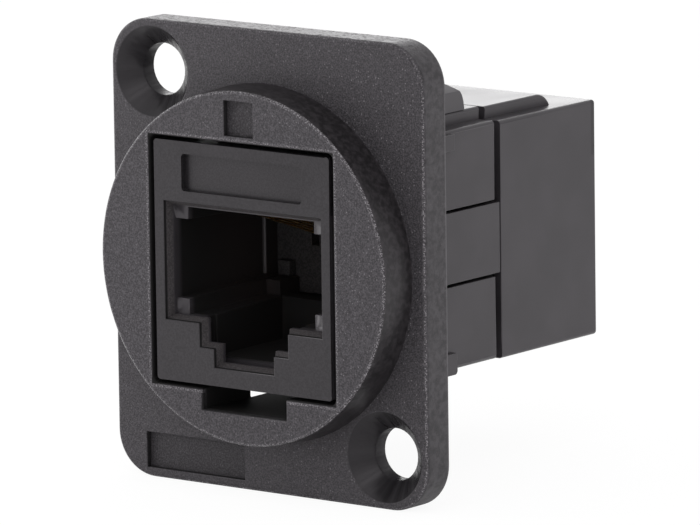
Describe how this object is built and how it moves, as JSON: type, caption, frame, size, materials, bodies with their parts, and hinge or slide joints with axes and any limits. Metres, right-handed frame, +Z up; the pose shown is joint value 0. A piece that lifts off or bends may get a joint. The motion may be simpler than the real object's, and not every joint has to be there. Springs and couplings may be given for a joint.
{
  "type": "feed-through telephone socket",
  "caption": "Panel-mount feed-through modular telephone socket: a flanged black plastic frame with a round boss holding a two-part coupler that has a socket at each end.",
  "frame": {"origin": "centre of the flange's rear face, which seats on the panel, midway between the two screw holes", "axes": "+Z up with the latch notch of the sockets down, +Y into the panel toward the rear socket, +X to the right seen from the front"},
  "size_m": [0.026, 0.0297, 0.031],
  "materials": {
    "frame_plastic": "fine spark texture",
    "housing_plastic": "smooth satin",
    "carrier_plastic": "smooth",
    "board_laminate": "solder mask",
    "contact_metal": "gold plated flat spring"
  },
  "bodies": {
    "root": {"flange_frame": "frame_plastic", "front_housing": "housing_plastic", "rear_housing": "housing_plastic", "front_contact_carrier": "carrier_plastic", "rear_contact_carrier": "carrier_plastic", "circuit_board": "board_laminate", "front_contact_1": "contact_metal", "rear_contact_1": "contact_metal", "front_contact_2": "contact_metal", "rear_contact_2": "contact_metal", "front_contact_3": "contact_metal", "rear_contact_3": "contact_metal", "front_contact_4": "contact_metal", "rear_contact_4": "contact_metal", "front_contact_5": "contact_metal", "rear_contact_5": "contact_metal", "front_contact_6": "contact_metal", "rear_contact_6": "contact_metal"}
  },
  "joints": []
}
